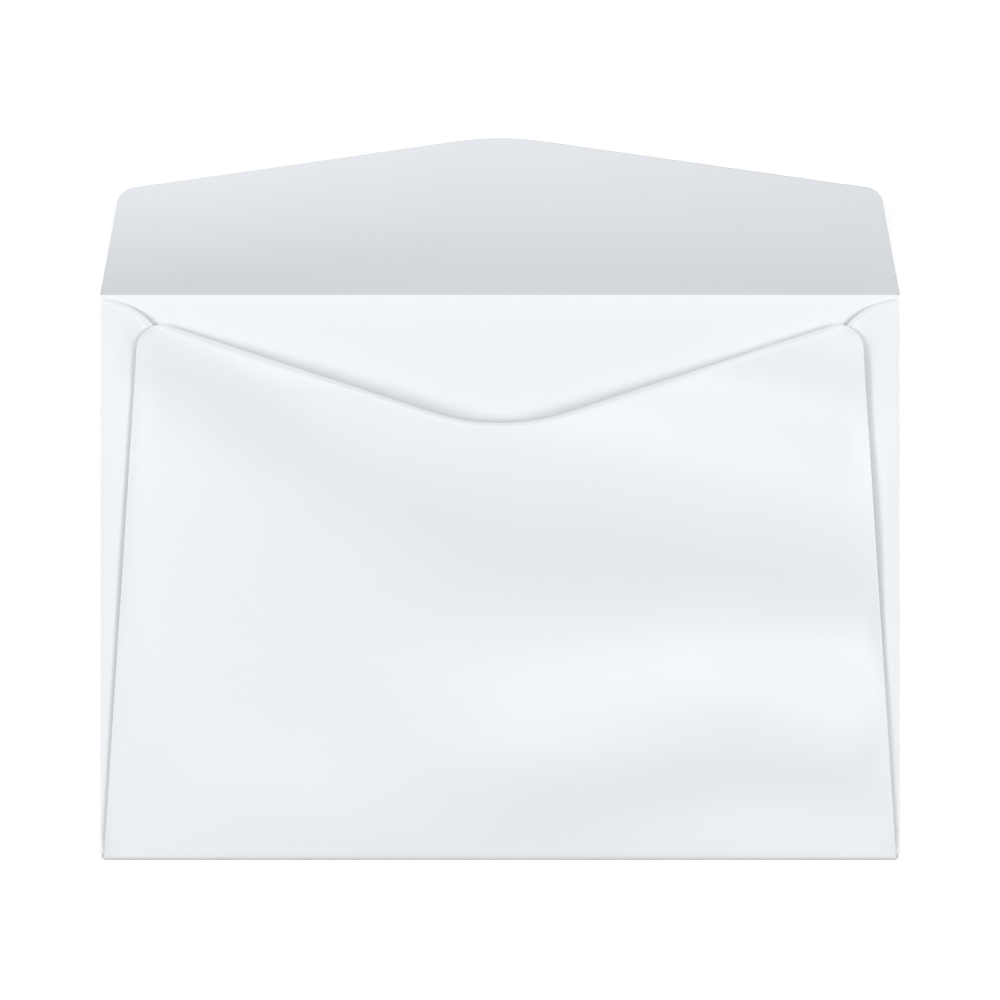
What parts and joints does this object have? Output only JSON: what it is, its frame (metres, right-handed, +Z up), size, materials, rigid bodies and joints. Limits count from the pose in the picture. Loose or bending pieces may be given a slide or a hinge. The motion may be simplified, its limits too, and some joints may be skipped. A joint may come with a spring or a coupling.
{
  "type": "paper envelope",
  "caption": "White paper envelope lying on its front, open flap with a blunt point raised at the crease, back panel with a wide V throat over two side flaps.",
  "frame": {"origin": "middle of the front panel between its four folds, on its outer face, which is the face the envelope lies on", "axes": "+X to the right seen from the back of the envelope, along the crease; +Y from the bottom fold towards the open flap; +Z up, out of the back panel"},
  "size_m": [0.162, 0.1459, 0.018],
  "materials": {
    "paper": "smooth uncoated white paper, faintly cool"
  },
  "bodies": {
    "root": {"paper_sheet": "paper"}
  },
  "joints": []
}
